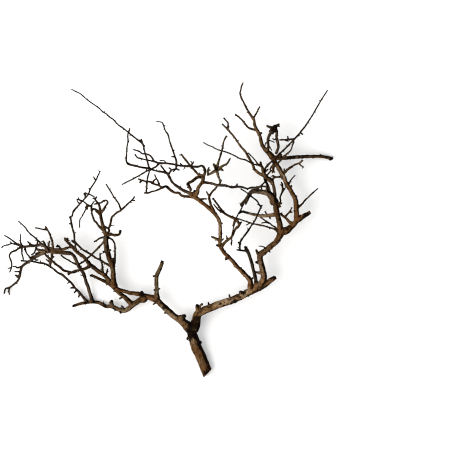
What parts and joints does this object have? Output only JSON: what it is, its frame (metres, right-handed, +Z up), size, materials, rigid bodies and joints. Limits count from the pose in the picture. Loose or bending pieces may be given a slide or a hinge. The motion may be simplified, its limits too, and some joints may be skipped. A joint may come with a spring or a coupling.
{
  "type": "fallen tree branch",
  "caption": "Bare dead tree branch lying flat, with a cut butt, forked limbs, broken stubs, knots and long thin twigs.",
  "frame": {"origin": "on the ground, under the middle of the branch's spread", "axes": "+X along the longest spread, from the far left spray to the dead stub; +Y from the cut butt to the crown; +Z up from the ground"},
  "size_m": [0.8296, 0.7383, 0.1311],
  "materials": {
    "bark_brown": "rough weathered brown bark with grey-tan ridges",
    "bark_red": "smooth reddish-brown bark",
    "bark_tan": "bare weathered tan wood where the bark has gone",
    "bark_olive": "dull olive-tan bark",
    "bark_dark": "dark brown twig bark with buds"
  },
  "bodies": {
    "root": {"trunk": "bark_brown", "right_limb": "bark_brown", "left_limb": "bark_tan", "snag": "bark_olive", "left_upper_limb": "bark_red", "left_lower_limb": "bark_brown", "side_branch": "bark_brown", "tall_limb": "bark_brown", "curved_twig": "bark_dark", "left_middle_limb": "bark_brown", "cross_limb": "bark_dark", "far_left_limb": "bark_brown", "far_left_spray": "bark_dark", "foot_branch": "bark_dark", "sweep_limb": "bark_dark", "inner_limb": "bark_red", "elbow_branch": "bark_brown", "riser": "bark_olive", "top_left_branch": "bark_dark", "middle_left_branch": "bark_brown", "long_wand": "bark_dark", "top_hub": "bark_brown", "shelf_twig": "bark_dark", "long_right_twig": "bark_dark", "dead_rod": "bark_dark", "outer_limb": "bark_brown", "crown_left_limb": "bark_brown", "arc_branch": "bark_dark", "light_branch": "bark_olive", "upper_left_twig": "bark_brown", "crown_right_limb": "bark_red", "crown_tip_limb": "bark_brown", "dead_stub": "bark_brown", "burl_stems": "bark_dark", "right_wand": "bark_dark"}
  },
  "joints": []
}
